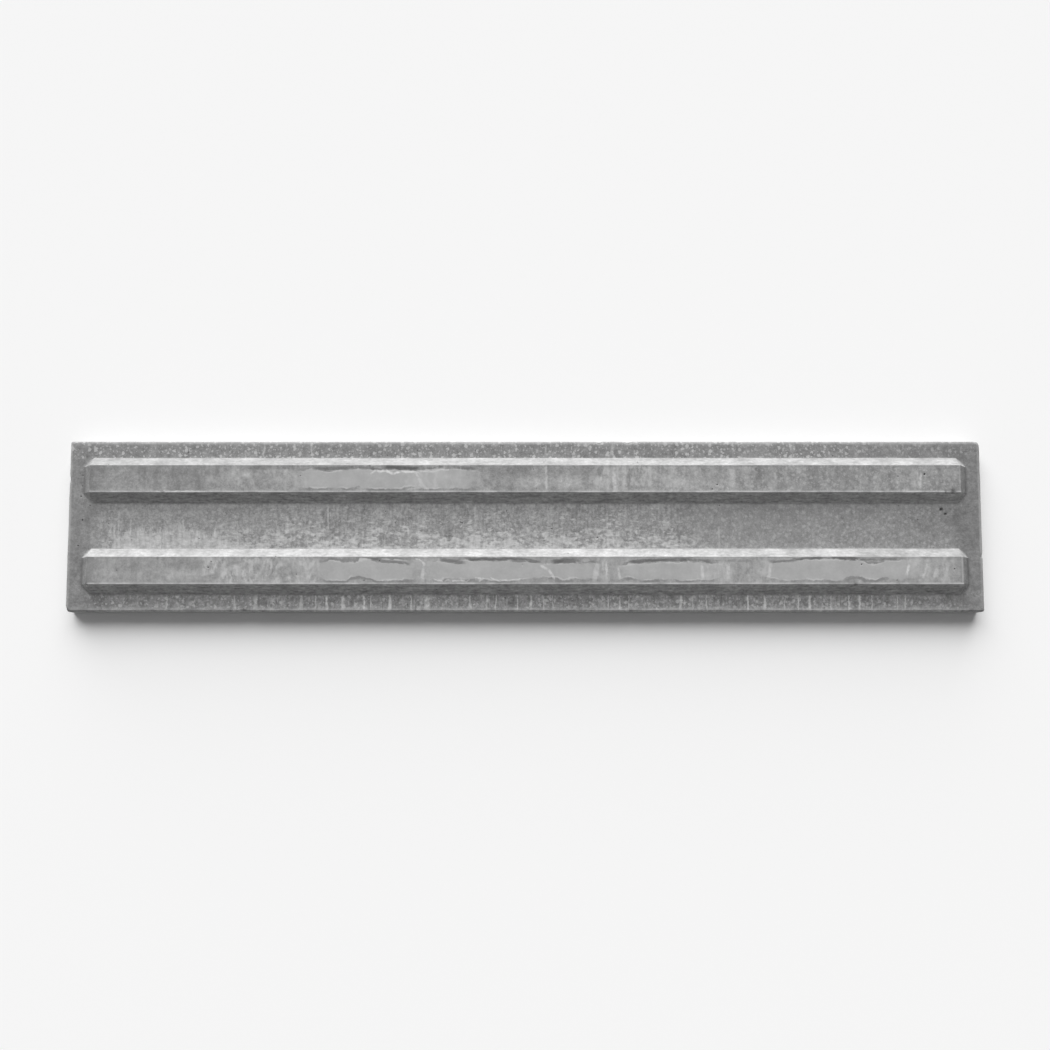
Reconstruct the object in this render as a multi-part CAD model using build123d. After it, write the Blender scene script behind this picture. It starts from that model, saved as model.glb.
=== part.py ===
from build123d import *
from itertools import product
import os

# Concrete gravel board: one flat cast plank with two raised horizontal ribs on its front face.
# Its plain ends drop into the channels of slotted fence posts, and it is stored flat on its back.
# The part's frame: +X runs along the board, +Y towards its top edge and +Z out of the ribbed face.
# The origin is the middle of the back face. All sizes are in millimetres.

# Plank
board_length = 1840.0
board_height = 345.0
plate_thickness = 40.0
end_draft = 2.0          # lean of each end over the plate's thickness, which frees the mould
front_bevel = 3.0        # bevel all round the front face
back_bevel = 1.0         # small bevel all round the back face

# Ribs
rib_count = 2
rib_projection = 20.0    # how far a crown stands out of the plate
crown_width = 55.0       # flat crown, measured up the board
flank_run = 18.5         # how far each sloping flank spreads from the crown to its foot
edge_margin = 34.5       # plain strip between the outer ribs' feet and the long edges
end_margin = 32.5        # plain strip between the ribs' feet and the ends, gripped by the posts
crown_round = 2.0        # radius along the edges of a crown
foot_round = 4.0         # radius in the corner where a flank meets the plate

# Sizes that follow
foot_width = crown_width + 2 * flank_run
crown_length = board_length - 2 * (end_margin + flank_run)
rib_travel = board_height - 2 * edge_margin - foot_width
rib_pitch = rib_travel / (rib_count - 1)
crown_level = plate_thickness + rib_projection


def plank():
    """The plate: its ends lean in towards the front, and its long edges are square."""
    half_back = board_length / 2
    half_front = half_back - end_draft
    outline = Polygon(
        (-half_back, 0),
        (half_back, 0),
        (half_front, plate_thickness),
        (-half_front, plate_thickness),
        align=None,
    )
    plate = extrude(Plane.XZ * outline, board_height / 2, both=True)
    front_edges = plate.faces().sort_by(Axis.Z)[-1].edges()
    plate = chamfer(front_edges, front_bevel)
    back_edges = plate.faces().sort_by(Axis.Z)[0].edges()
    return chamfer(back_edges, back_bevel)


def rib():
    """One rib at the origin: a flat crown, a flank on each side, and a facet across each corner.

    The facet runs from the crown's corner to the ends of the two flanks' feet.
    """
    half_length = crown_length / 2
    half_width = crown_width / 2
    points = []
    for x_side, y_side in product((-1, 1), repeat=2):
        corner_x = x_side * half_length
        corner_y = y_side * half_width
        points += [
            (corner_x, corner_y, crown_level),
            (corner_x + x_side * flank_run, corner_y, plate_thickness),
            (corner_x, corner_y + y_side * flank_run, plate_thickness),
        ]
    body = ConvexPolyhedron(points)
    crown_edges = body.faces().sort_by(Axis.Z)[-1].edges()
    return fillet(crown_edges, crown_round)


def is_foot(edge):
    """True for an edge in the plane of the plate's front, within the ribs' field."""
    box = edge.bounding_box()
    flat = box.size.Z < 1e-6 and abs(box.min.Z - plate_thickness) < 1e-6
    inside = max(abs(box.min.Y), abs(box.max.Y)) < board_height / 2 - edge_margin + 1e-3
    return flat and inside


def gravel_board():
    """The whole casting, as one solid."""
    board = plank()
    for place in GridLocations(0, rib_pitch, 1, rib_count):
        board += place * rib()
    feet = board.edges().filter_by(is_foot)
    return fillet(feet, foot_round)


os.makedirs("parts", exist_ok=True)
export_step(gravel_board(), "parts/gravel_board.step")
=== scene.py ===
import math

import bpy
import numpy as np
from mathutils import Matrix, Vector, noise
from mathutils.geometry import delaunay_2d_cdt


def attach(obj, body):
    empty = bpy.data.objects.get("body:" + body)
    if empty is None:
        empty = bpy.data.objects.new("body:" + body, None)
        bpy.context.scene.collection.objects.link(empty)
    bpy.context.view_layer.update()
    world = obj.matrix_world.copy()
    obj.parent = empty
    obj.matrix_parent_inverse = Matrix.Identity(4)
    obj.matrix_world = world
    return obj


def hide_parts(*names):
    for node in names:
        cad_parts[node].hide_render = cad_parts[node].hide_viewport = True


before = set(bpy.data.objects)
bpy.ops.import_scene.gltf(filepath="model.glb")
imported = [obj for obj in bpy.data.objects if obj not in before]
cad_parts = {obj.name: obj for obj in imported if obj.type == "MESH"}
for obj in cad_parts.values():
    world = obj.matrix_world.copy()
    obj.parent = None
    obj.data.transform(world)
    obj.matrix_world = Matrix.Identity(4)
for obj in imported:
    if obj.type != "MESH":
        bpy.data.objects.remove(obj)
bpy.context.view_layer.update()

# Looks of a cast concrete gravel board that lies flat on its back.
# Everything is in metres: +X along the board, +Y towards its top edge, +Z out of the ribbed face.

MM = 0.001

# Shape of the casting
HALF_LENGTH = 920 * MM
HALF_HEIGHT = 172.5 * MM
PLATE = 40 * MM
END_DRAFT = 2 * MM
RIB_CENTRES = (-92 * MM, 92 * MM)
RIB_PROJECTION = 20 * MM
CROWN_HALF_LENGTH = 869 * MM
CROWN_HALF_WIDTH = 27.5 * MM
FLANK_RUN = 18.5 * MM
FOOT_HALF_WIDTH = CROWN_HALF_WIDTH + FLANK_RUN

# Softness of the corners: a corner's radius is about 2.6 times this
ARRIS_SOFTNESS = 0.75 * MM
FOOT_SOFTNESS = 1.6 * MM
CORNER_RADIUS = 3 * MM

# Loops of points down the four edges of the board, as (inset from the outline, level)
BEVEL_LOOPS = ((2.9, 39.85), (2.2, 39.3), (0.7, 37.8), (0.15, 37.1), (0.0, 36.4))
BACK_LOOPS = ((0.0, 1.2), (0.3, 0.4), (1.2, 0.0))
FRONT_INSET = 3.6 * MM
WALL_STEPS = 10

# Mesh spacing
GRID_STEP = 4.4 * MM
CLOSE_LINES = (0.3, 0.9, 1.7, 2.8)
LEAST_GAP = 0.25 * MM
BACK_STEP = 12 * MM
BACK_JITTER = 0.3
SEED = 7

# Layers of waves, each as (height, size, octaves of finer waves, shift that sets it apart)
FACE_WAVES = ((0.25, 150, 2, 23.0), (0.12, 18, 3, 29.0))
RIB_WANDER_X = ((0.5, 60, 3, 11.0),)
RIB_WANDER_Y = ((0.55, 40, 4, 17.0),)
FILM_SWAY = ((9, 60, 2, 31.0), (4, 20, 2, 37.0))
LINE_BEND = ((1.6, 22, 3, 53.0),)
RAGGED_ENDS = ((26, 40, 4, 61.0),)

# How the films and the worn surfaces depart from plain shapes
FILM_SWAY_LIMITS = (-7 * MM, 3 * MM)
FILM_TAPER = 5 * MM
FILM_TAPER_LENGTH = 50 * MM
FILM_EDGE = 1.5 * MM
FILM_THICKNESS = 0.2 * MM
SIDE_WEAR = 0.35 * MM
BACK_LIFT = 0.35 * MM

# Fine lines beside the ribs' arrises and feet, as (distance in from it, half width). The line under each
# upper arris and the lines at the feet are painted shade. The line along each lower arris and each
# crown's end is partly paler worn paste and partly a painted highlight. The rim runs round the front's
# edge.
UNDER_ARRIS_SHADE = (1.8 * MM, 1.6 * MM)
ARRIS_WEAR_AND_HIGHLIGHT = (1.4 * MM, 1.7 * MM)
END_ARRIS_WEAR_AND_HIGHLIGHT = (2.2 * MM, 1.6 * MM)
FOOT_SHADE_LINE = (0.4 * MM, 1.8 * MM)
END_FOOT_SHADE_LINE = (1 * MM, 4 * MM)
RIM_LINE = (4.5 * MM, 2.2 * MM)

# Tone of the front at heights up the board: the margins, the crowns and the band between them. It is
# raised just below each rib's lower foot, at 44 and -139, as painted light that offsets the rib's shadow
# there.
ZONE_TONES = (
    (-172, 0.36), (-164, 0.245), (-156, 0.205), (-146, 0.205), (-139, 0.25),
    (-118, 0.27), (-112, 0.30), (-72, 0.315), (-60, 0.30), (-40, 0.28),
    (-10, 0.27), (15, 0.265), (34, 0.27), (44, 0.33), (60, 0.27),
    (66, 0.272), (118, 0.254), (140, 0.215), (166, 0.22), (172, 0.26),
)
# The upper flanks' tones are paler than the lower flanks', partly paler smooth cement and partly painted
# light from the board's top edge
UPPER_FLANK_PALE_AND_LIT_TONES = (0.468, 0.378)
LOWER_TONE = 0.318
FILM_TONE = 0.37
SIDE_TONE = 0.27
PALEST = 0.72
END_TONE = 0.275
# How far the front's tone falls at the left and the right end: painted shade where the posts shaded them
END_SHADE_FALLS = (0.24, 0.30)

# Marks on the concrete, some of them painted shade and highlights: (tone, how well it covers)
MARKS = {
    "band shade": (0.20, 0.14),
    "spot": (0.54, 0.64),
    "light run": (0.42, 0.38),
    "dark run": (0.09, 0.50),
    # Painted highlight on the films' raised edges, and painted shadow beside them
    "film rim highlight": (0.52, 0.55),
    "film shadow": (0.16, 0.62),
    # Painted shade below the upper arrises' ledge, and the band's thin dark line
    "dark streak and shade": (0.08, 0.95),
    # Veins, and painted highlights along the films' edges and a lower arris
    "vein_and_highlight": (0.68, 0.9),
    "smoke": (0.47, 0.9),
    "curl": (0.53, 0.4),
    # Painted shade under the upper arrises, worn paste with a painted highlight along the lower arrises,
    # and painted shade at the feet
    "under arris shade": (0.17, 0.55),
    "arris": (0.60, 0.95),
    "foot": (0.08, 0.45),
    "rim": (0.46, 0.75),
    # Painted shade in the pinholes
    "hole": (0.08, 0.7),
}
BLOOM_TONE = 0.48
PLUME_TONE = 0.45
FLECK_TONE = 0.52
PIT_SHADE = 0.45

# Clouding of bare concrete: (size, detail, roughness, shift, amount)
MOTTLING = ((110, 2.0, 0.55, 3.1, 0.18), (34, 4.0, 0.6, 7.7, 0.34), (11, 5.0, 0.75, 2.3, 0.75))
GRAIN_AMOUNT = 0.50

# How much the streaks, specks and clouds change each flank's tone
FLANK_VARIETY = {"upper": (0.36, 0.5, 0.6), "lower": (0.9, 0.8, 0.5)}

# Fine relief that only shades the surface: the height of each mark in it
MARK_HEIGHTS = {"film": 0.35, "spot": 0.15, "streak": -0.7, "hole": -1.5, "line": 0.6}
BUMP_STRENGTH = 0.6
BUMP_DEPTH = 1.0 * MM

# Roughness of bare concrete, of the films and of the flanks
BARE_ROUGH = 0.84
FILM_ROUGH = 0.62
FLANK_ROUGH = 0.52

# Where one look gives way to the next, as (begins, ends): along, up or through the board
SPANS = {
    "front": (34, 38),
    "back": (3, 1),
    "end tone": (850, 896),
    "left end": (-832, -888),
    "right end": (832, 878),
    "margin ends": (890, 862),
    "band ends": (886, 835),
    "band sides": (47, 44),
    "band low": (35, -45),
    "top margin": (136, 139),
    "bottom margin": (-136, -139),
    "left part": (420, 280),
    "middle": (-600, -480),
    "far left": (-560, -640),
    "far right": (520, 660),
    "left fall": (-200, -850),
    "right fall": (150, 850),
    "bloom": (-880, -790),
    "plume": (-862, -800),
    "few spots": (560, 760),
    "crown spots": (100, 250),
    "runs": (-620, -500),
    "few runs": (560, 720),
}

# Smooth films of cement on the crowns: (rib, from x, to x, from y, to y), y from the crown's middle
FILMS = (
    (1, -470, -78, -18, 18),
    (0, -430, -200, -18, 21),
    (0, -206, 158, -18, 19),
    (0, 166, 400, -18, 16),
    (0, 455, 790, -18, 20),
)

# Dark streaks under the upper arrises, painted shade below the arrises' ledge, and one thin dark line
# down the band:
# (rib, from x, y, to x, y, half width, strength), y from the crown's middle
DARK_STREAKS_AND_ARRIS_SHADE = (
    (1, -560, 22, -460, 22, 4.0, 0.40),
    (1, -424, 19, -334, 21, 3.0, 0.65),
    (1, -340, 22, -296, 20, 2.5, 0.55),
    (1, -282, 23, -208, 19, 4.0, 1.00),
    (1, -206, 19, -160, 22, 2.2, 0.50),
    (1, -140, 22, -96, 20, 3.0, 0.50),
    (0, -306, 21, -228, 13, 3.2, 0.70),
    (0, -170, 21, -118, 15, 4.0, 0.75),
    (0, -112, 21, -14, 22, 2.8, 0.75),
    (0, -30, 21, 30, 17, 3.4, 0.70),
    (0, 52, 18, 112, 18, 4.4, 0.90),
    (0, 104, 14, 150, 15, 2.2, 0.45),
    (0, 206, 17, 330, 22, 3.4, 0.75),
    (0, 326, 18, 392, 17, 3.4, 0.55),
    (0, 392, 20, 450, 18, 3.0, 0.35),
    (0, 484, 16, 590, 25, 2.4, 0.75),
    (0, 606, 25, 662, 22, 3.4, 0.95),
    (0, 660, 21, 738, 22, 2.6, 0.55),
    (0, -728, 106, -728, 20, 1.6, 0.35),
)

# Light veins and lines: (from x, y, to x, y, half width at the first end, at the second, strength). The
# short lines along the films' edges, near y 101 to 110 and -105 to -116, are painted highlights on those
# raised edges; the line at y 66 along the lower arris is partly worn paste and partly a painted
# highlight.
LIGHT_LINES = (
    (-308, 101, -298, 110, 1.8, 2.2, 1.00),
    (-298, 110, -290, 104, 2.2, 2.4, 1.00),
    (-290, 104, -280, 109, 2.4, 2.6, 1.00),
    (-280, 109, -263, 102, 2.6, 2.6, 1.00),
    (-263, 102, -248, 106, 2.6, 2.4, 1.00),
    (-248, 106, -213, 106, 2.4, 2.0, 0.90),
    (-212, 106, -150, 110, 1.8, 1.6, 0.60),
    (-219, 106, -213, 94, 1.8, 2.2, 0.50),
    (-213, 94, -206, 80, 2.2, 2.8, 0.55),
    (-206, 80, -192, 70, 2.8, 2.0, 0.45),
    (-236, 71, -206, 74, 1.6, 2.4, 0.45),
    (-736, 66, -716, 67, 1.6, 1.6, 0.90),
    (-718, 66, -636, 66, 1.8, 1.6, 1.00),
    (-70, -107, -52, -112, 1.4, 1.6, 0.60),
    (-52, -112, -32, -113, 1.6, 1.6, 0.60),
    (-32, -113, -6, -108, 1.6, 1.4, 0.55),
    (-182, -110, -161, -113, 1.4, 1.6, 0.65),
    (-161, -113, -150, -110, 1.6, 1.3, 0.50),
    (-146, -113, -119, -112, 1.4, 1.5, 0.65),
    (-117, -116, -109, -109, 1.3, 1.3, 0.50),
    (-100, -105, -84, -109, 1.4, 1.4, 0.45),
    (-92, -114, -80, -107, 1.8, 1.3, 0.65),
    (-292, -113, -262, -110, 1.4, 1.4, 0.45),
    (-94, 104, -93, 78, 4.0, 4.0, 0.14),
    (42, 119, 43, 67, 2.2, 3.0, 0.45),
    (152, 98, 151, 86, 1.5, 2.5, 0.55),
    (151, 84, 153, 74, 2.0, 7.0, 0.50),
    (175, 118, 180, 68, 5.5, 2.6, 0.60),
    (202, 108, 196, 76, 3.5, 3.0, 0.35),
    (248, 118, 250, 72, 3.0, 3.0, 0.25),
    (413, 118, 415, 68, 5.0, 7.0, 0.30),
    (495, 118, 494, 68, 7.0, 6.0, 0.22),
    (776, 116, 774, 70, 7.0, 6.0, 0.22),
    (789, 106, 788, 74, 2.0, 3.0, 0.50),
    (-598, -74, -597, -104, 4.5, 5.0, 0.30),
    (-566, -80, -570, -106, 5.0, 4.5, 0.22),
    (-546, -72, -540, -106, 4.5, 4.0, 0.32),
    (-519, -76, -522, -100, 5.0, 4.0, 0.22),
    (-486, -73, -492, -90, 4.5, 4.0, 0.36),
    (-492, -90, -500, -104, 4.0, 4.5, 0.32),
    (-418, -76, -434, -92, 3.6, 4.0, 0.26),
    (-434, -92, -428, -114, 4.0, 3.0, 0.30),
    (-218, -69, -204, -72, 1.8, 1.8, 0.65),
    (-206, -72, -198, -82, 1.8, 2.2, 0.70),
    (-202, -86, -203, -114, 2.8, 3.6, 0.48),
    (30, -82, 46, -90, 2.6, 2.6, 0.68),
    (46, -90, 60, -110, 2.6, 2.2, 0.62),
    (146, -76, 136, -116, 5.0, 5.0, 0.45),
    (162, -74, 161, -104, 2.0, 2.4, 0.65),
    (161, -104, 160, -112, 2.4, 5.5, 0.50),
    (184, -86, 188, -112, 2.4, 3.0, 0.45),
    (350, -80, 353, -110, 2.6, 3.6, 0.60),
    (403, -78, 402, -112, 4.0, 3.6, 0.55),
    (488, -76, 481, -110, 3.6, 3.2, 0.46),
    (762, -80, 754, -102, 2.6, 3.0, 0.75),
    (798, -78, 787, -108, 2.6, 3.0, 0.45),
    (818, -84, 809, -108, 3.2, 3.0, 0.32),
    (840, -80, 830, -110, 3.6, 3.0, 0.26),
    (-396, 40, -395, -8, 1.5, 1.5, 0.32),
    (-816, 30, -815, -34, 1.6, 1.6, 0.26),
    (-792, 14, -791, -20, 1.6, 1.8, 0.26),
    (-768, 6, -767, -26, 1.6, 1.8, 0.22),
    (-686, 14, -685, -40, 1.6, 3.0, 0.30),
    (-578, 12, -577, -30, 1.5, 1.5, 0.20),
    (-236, 24, -235, -34, 1.6, 1.8, 0.24),
    (-100, 42, -99, 4, 1.5, 1.5, 0.26),
    (46, 42, 46, 6, 1.5, 1.5, 0.22),
    (390, -2, 389, -46, 1.8, 2.6, 0.24),
    (-527, 170, -526, 140, 1.8, 1.8, 0.40),
    (-432, 168, -431, 144, 2.0, 2.0, 0.35),
    (42, 166, 42, 140, 1.8, 2.4, 0.35),
    (178, 168, 174, 140, 3.0, 4.0, 0.40),
)

# Light drips down the bottom margin, wider at the foot: (x, half width, strength)
DRIP_TOP = -139
DRIP_FOOT = -172
DRIP_TAPER = (0.45, 0.85)
DRIPS = (
    (-716, 2.4, 0.45), (-580, 3.0, 0.36), (-538, 6.0, 0.40), (-446, 5.0, 0.36),
    (-418, 2.4, 0.50), (-396, 3.4, 0.75), (-363, 5.0, 0.60), (-322, 3.0, 0.70),
    (-308, 2.4, 0.45), (-270, 4.6, 0.70), (-228, 2.2, 0.60), (-196, 7.0, 0.65), (-110, 4.0, 0.45),
    (-76, 2.0, 0.40), (-58, 1.6, 0.60), (-15, 1.6, 0.55), (12, 4.0, 0.65), (37, 1.8, 0.50),
    (55, 2.2, 0.36), (166, 1.6, 0.65), (189, 2.4, 0.40), (207, 1.8, 0.50),
    (311, 4.0, 0.55), (335, 2.0, 0.40), (363, 2.2, 0.50), (445, 1.8, 0.90), (479, 3.4, 0.50),
    (519, 2.0, 0.40), (545, 2.0, 0.65), (568, 4.0, 0.60), (611, 2.0, 0.40), (647, 2.4, 0.60),
    (668, 3.4, 0.60), (693, 1.6, 0.50), (743, 1.8, 0.50), (759, 2.0, 0.40),
)

# Pale and dark clouds: (x, y, half length, half height, gain)
CLOUDS = (
    (-555, 100, 7, 6, 0.50),
    (-590, 100, 16, 20, 0.20),
    (-680, 96, 50, 20, -0.08),
    (-470, 90, 46, 24, 0.16),
    (6, 84, 34, 11, 0.34),
    (82, 84, 32, 12, 0.38),
    (300, 84, 26, 11, 0.34),
    (-20, 108, 70, 10, -0.10),
    (130, 108, 34, 10, -0.10),
    (440, 94, 7, 3, 0.30),
    (851, 95, 18, 22, 0.04),
    (815, -6, 90, 60, -0.14),
    (630, 92, 230, 40, -0.13),
    (360, 84, 60, 10, 0.10),
    (-500, 108, 26, 7, 0.16),
    (-800, 84, 60, 12, -0.06),
    (-850, 92, 14, 18, 0.08),
    (180, 112, 60, 7, -0.14),
    (560, 108, 26, 10, 0.08),
    (-760, 106, 120, 14, -0.08),
    (-850, -92, 12, 26, 0.10),
    (-760, -80, 110, 40, -0.13),
    (-528, -92, 96, 34, -0.13),
    (-680, -100, 40, 10, 0.20),
    (-665, -80, 50, 9, -0.22),
    (-770, -86, 40, 20, -0.08),
    (-385, 4, 24, 12, -0.16),
    (-152, -20, 16, 12, -0.16),
    (-290, 20, 22, 18, 0.12),
    (-470, -68, 10, 5, 0.35),
    (663, -114, 7, 4, 0.40),
    (701, -71, 16, 4, 0.35),
    (773, -73, 8, 5, 0.30),
    (799, -73, 6, 4, 0.25),
    (-830, 0, 60, 46, -0.05),
    (-700, -30, 130, 22, 0.10),
    (-250, 0, 60, 40, 0.06),
    (560, -6, 260, 60, -0.09),
    (-690, -157, 4, 4, 0.45),
    (-730, -150, 10, 10, 0.16),
)

# Stretches of a crown with curly light lines: (rib, from x, to x, strength)
CURLS = (
    (0, -640, -410, 1.0),
    (0, -860, -640, 0.25),
    (0, 340, 490, 0.5),
    (0, 750, 850, 0.5),
    (1, -650, -430, 0.35),
    (1, -240, -110, 0.5),
    (1, 120, 300, 0.7),
    (1, 300, 860, 0.25),
)
CURL_FADE = 15

# Pits left by air bubbles: (x, y, radius)
PITS = (
    (837, 33, 4.0),
    (845, 24, 2.9),
    (797, 101, 2.2),
    (383, 80, 1.6),
    (373, 71, 1.3),
    (667, -80, 1.5),
    (851, -89, 1.4),
    (-628, -86, 1.5),
    (54, -6, 1.6),
    (-893, 60, 1.5),
    (-889, 12, 1.6),
    (-896, -40, 1.4),
)
SMALL_PITS = 70
SMALL_PIT_AREA = (900 * MM, 160 * MM)
SMALL_PIT_RADII = (0.6, 1.3)
PIT_SIDES = 10
PIT_RINGS = (0.45, 0.8, 1.05, 1.5)
PIT_CLEARANCE = 1.8
PIT_UNEVEN = 0.14
PIT_DEPTH = 1.3

# Chips along the arrises: (x, y, level, radius, depth)
CHIPS = (
    (853, 64.5, 60, 6.0, 2.0),
    (838, 64.5, 60, 4.0, 1.2),
    (-722, 64.5, 60, 3.5, 0.9),
    (655, -119.5, 60, 4.0, 1.0),
    (-310, 119.5, 60, 4.0, 0.8),
    (-869, -119.5, 60, 5.0, 1.4),
    (-560, -172.5, 40, 8.0, 2.4),
    (212, -172.5, 40, 6.0, 1.8),
    (433, 172.5, 40, 7.0, 2.0),
    (-146, 172.5, 40, 6.0, 2.2),
    (-120, 172.5, 40, 5.0, 1.8),
    (150, 172.5, 40, 8.0, 2.2),
    (208, 172.5, 40, 8.0, 2.4),
    (918, 172.5, 40, 8.0, 2.8),
    (-918, -172.5, 40, 9.0, 3.0),
    (918, -60, 40, 6.0, 1.8),
    (-918, 95, 40, 6.0, 2.0),
)
CHIP_ROUGHNESS = 0.25
CHIP_BAND = 10 * MM


def smoothstep(low, high, value):
    """0 before low, 1 past high, and an S-curve between them, in either direction."""
    share = np.clip((value - low) / (high - low), 0, 1)
    return share * share * (3 - 2 * share)


def bell(value, width):
    """1 where value is zero, fading on both sides."""
    return np.exp(-((value / width) ** 2))


def soft_ramp(value, softness):
    """Like the larger of value and zero, with the corner rounded."""
    return (value + np.sqrt(value * value + softness * softness)) / 2


def fractal(x, y, size, octaves, shift):
    """Fractal noise at each point, about -1 to 1, with features of the given size."""
    points = np.stack([x / size + shift, y / size - shift, np.full_like(x, shift)], axis=1)
    return np.array([noise.fractal(Vector(p), 1.0, 2.0, octaves) for p in points])


def waves(x, y, layers):
    """Sum of layers of fractal noise at each point."""
    return sum(height * MM * fractal(x, y, size * MM, octaves, shift)
               for height, size, octaves, shift in layers)


def span(name, value):
    """How far the value is through a named span, from 0 to 1."""
    begin, end = SPANS[name]
    return smoothstep(begin * MM, end * MM, value)


def even(low, high, step):
    """Evenly spaced values from low to high, no further apart than step."""
    return np.linspace(low, high, 1 + math.ceil((high - low) / step))


def ticks(stops, step, refined):
    """Grid lines between the stops, with extra lines close to the refined ones."""
    lines = [even(a, b, step) for a, b in zip(stops, stops[1:])]
    lines += [np.array([r + side * d * MM for d in CLOSE_LINES]) for r in refined for side in (-1, 1)]
    lines = np.unique(np.concatenate(lines).round(7))
    lines = lines[(lines >= stops[0]) & (lines <= stops[-1])]
    keep = [lines[0]]
    for line in lines[1:]:
        if line - keep[-1] > LEAST_GAP:
            keep.append(line)
    keep[-1] = stops[-1]
    return np.array(keep)


def rib_rise(x, y, centre, softness):
    """How far a rib stands out of the plate, with flat facets across its four corners."""
    along = soft_ramp(np.abs(x) - CROWN_HALF_LENGTH, softness)
    across = soft_ramp(np.abs(y - centre) - CROWN_HALF_WIDTH, softness)
    fall = (along + across) * RIB_PROJECTION / FLANK_RUN
    return soft_ramp(RIB_PROJECTION - fall, FOOT_SOFTNESS)


def film_fields(x, y):
    """Distance inside the nearest film's lower and upper edges, and inside its two ends."""
    across = np.full_like(x, -1.0)
    along = np.full_like(x, -1.0)
    for rib, left, right, low, high in FILMS:
        past_y = (high - low) / 2 * MM - np.abs(y - RIB_CENTRES[rib] - (low + high) / 2 * MM)
        past_x = (right - left) / 2 * MM - np.abs(x - (left + right) / 2 * MM)
        near = np.minimum(past_x, past_y) > np.minimum(along, across)
        across[near] = past_y[near]
        along[near] = past_x[near]
    sway = waves(x, y, FILM_SWAY).clip(*FILM_SWAY_LIMITS)
    taper = FILM_TAPER * (1 - smoothstep(0, FILM_TAPER_LENGTH, along))
    return across + sway - taper, along


def nearest_line(x, y, lines):
    """Signed distance from the nearest of the lines, its half width and its strength."""
    offset = np.full_like(x, 1.0)
    width = np.full_like(x, MM)
    strength = np.zeros_like(x)
    bend = waves(x, y, LINE_BEND)
    for x0, y0, x1, y1, width0, width1, amount in lines:
        run = np.array([x1 - x0, y1 - y0]) * MM
        length = np.linalg.norm(run)
        along = ((x - x0 * MM) * run[0] + (y - y0 * MM) * run[1]) / length
        away = ((y - y0 * MM) * run[0] - (x - x0 * MM) * run[1]) / length + bend
        half = (width0 + (width1 - width0) * np.clip(along / length, 0, 1)) * MM
        reach = half + 5 * MM
        inside = (np.abs(away) < reach) & (along > -reach) & (along < length + reach)
        past = np.maximum(np.abs(away) - half, 0)
        ends = smoothstep(-half, 2 * half, along) * smoothstep(-half, 2 * half, length - along)
        local = amount * ends * (1 - smoothstep(2.5 * MM, 4.5 * MM, past))
        near = inside & (np.abs(away) - half < np.abs(offset) - width) & (local > 0)
        offset[near] = away[near]
        width[near] = half[near]
        strength[near] = local[near]
    return offset, width, strength


def light_lines():
    """The veins and lines, some of them painted highlights, and the drips of the bottom margin in the
    same form.
    """
    drips = [(x, DRIP_TOP, x, DRIP_FOOT, DRIP_TAPER[0] * half, DRIP_TAPER[1] * half, amount)
             for x, half, amount in DRIPS]
    return [*LIGHT_LINES, *drips]


def dark_lines():
    """The dark streaks, painted shade under the upper arrises, and the band's thin dark line, measured
    from the board's middle.
    """
    middles = [c / MM for c in RIB_CENTRES]
    return [(x0, middles[rib] + y0, x1, middles[rib] + y1, half, half, amount)
            for rib, x0, y0, x1, y1, half, amount in DARK_STREAKS_AND_ARRIS_SHADE]


def curl_strength(x, y):
    """Strength of the curly light lines at each point of the nearer rib."""
    total = np.zeros_like(x)
    for rib, left, right, strength in CURLS:
        begun = smoothstep(left - CURL_FADE, left + CURL_FADE, x / MM)
        ended = smoothstep(right - CURL_FADE, right + CURL_FADE, x / MM)
        total = np.maximum(total, strength * begun * (1 - ended) * (y * RIB_CENTRES[rib] > 0))
    return total


def cloud_gain(x, y):
    """How much paler or darker the clouds make each point."""
    gain = np.ones_like(x)
    for place_x, place_y, half_x, half_y, amount in CLOUDS:
        far = ((x / MM - place_x) / half_x) ** 2 + ((y / MM - place_y) / half_y) ** 2
        gain *= 1 + amount * np.exp(-(far**2))
    return gain


def pit_list(rng):
    """The pits that show, and small ones scattered over the front face."""
    pits = [(x * MM, y * MM, radius * MM) for x, y, radius in PITS]
    far_x, far_y = SMALL_PIT_AREA
    for _ in range(SMALL_PITS):
        pits.append((rng.uniform(-far_x, far_x), rng.uniform(-far_y, far_y),
                     rng.uniform(*SMALL_PIT_RADII) * MM))
    return pits


def pit_points(x, y, radius, rng):
    """Rings of points for one pit: a floor, a wall and a rim."""
    points = [(x, y)]
    turn = rng.uniform(0, 1)
    for share in PIT_RINGS:
        for i in range(PIT_SIDES):
            angle = 2 * math.pi * (i + turn) / PIT_SIDES
            reach = radius * share * (1 + PIT_UNEVEN * math.sin(2 * angle + turn * 9))
            points.append((x + reach * math.cos(angle), y + reach * math.sin(angle)))
    return points


def pit_share(x, y, pits):
    """1 on the floor of a pit and 0 outside it, and the depth of the pit there."""
    share = np.zeros_like(x)
    depth = np.zeros_like(x)
    for place_x, place_y, radius in pits:
        inside = 1 - smoothstep(0.55, 1.1, np.hypot(x - place_x, y - place_y) / radius)
        share = np.maximum(share, inside)
        depth = np.maximum(depth, PIT_DEPTH * radius * inside)
    return share, depth


def chip_share(points):
    """1 in the middle of a chip and 0 outside it, and the depth of the chip there."""
    share = np.zeros(len(points))
    depth = np.zeros(len(points))
    rough = fractal(points[:, 0], points[:, 1], 4 * MM, 2, 43.0)
    for x, y, level, radius, deep in CHIPS:
        away = np.linalg.norm(points - np.array([x, y, level]) * MM, axis=1) / (radius * MM)
        inside = np.clip(1.15 - (away + CHIP_ROUGHNESS * rough) ** 2, 0, 1)
        share = np.maximum(share, inside)
        depth = np.maximum(depth, deep * MM * inside)
    return share, depth


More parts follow.
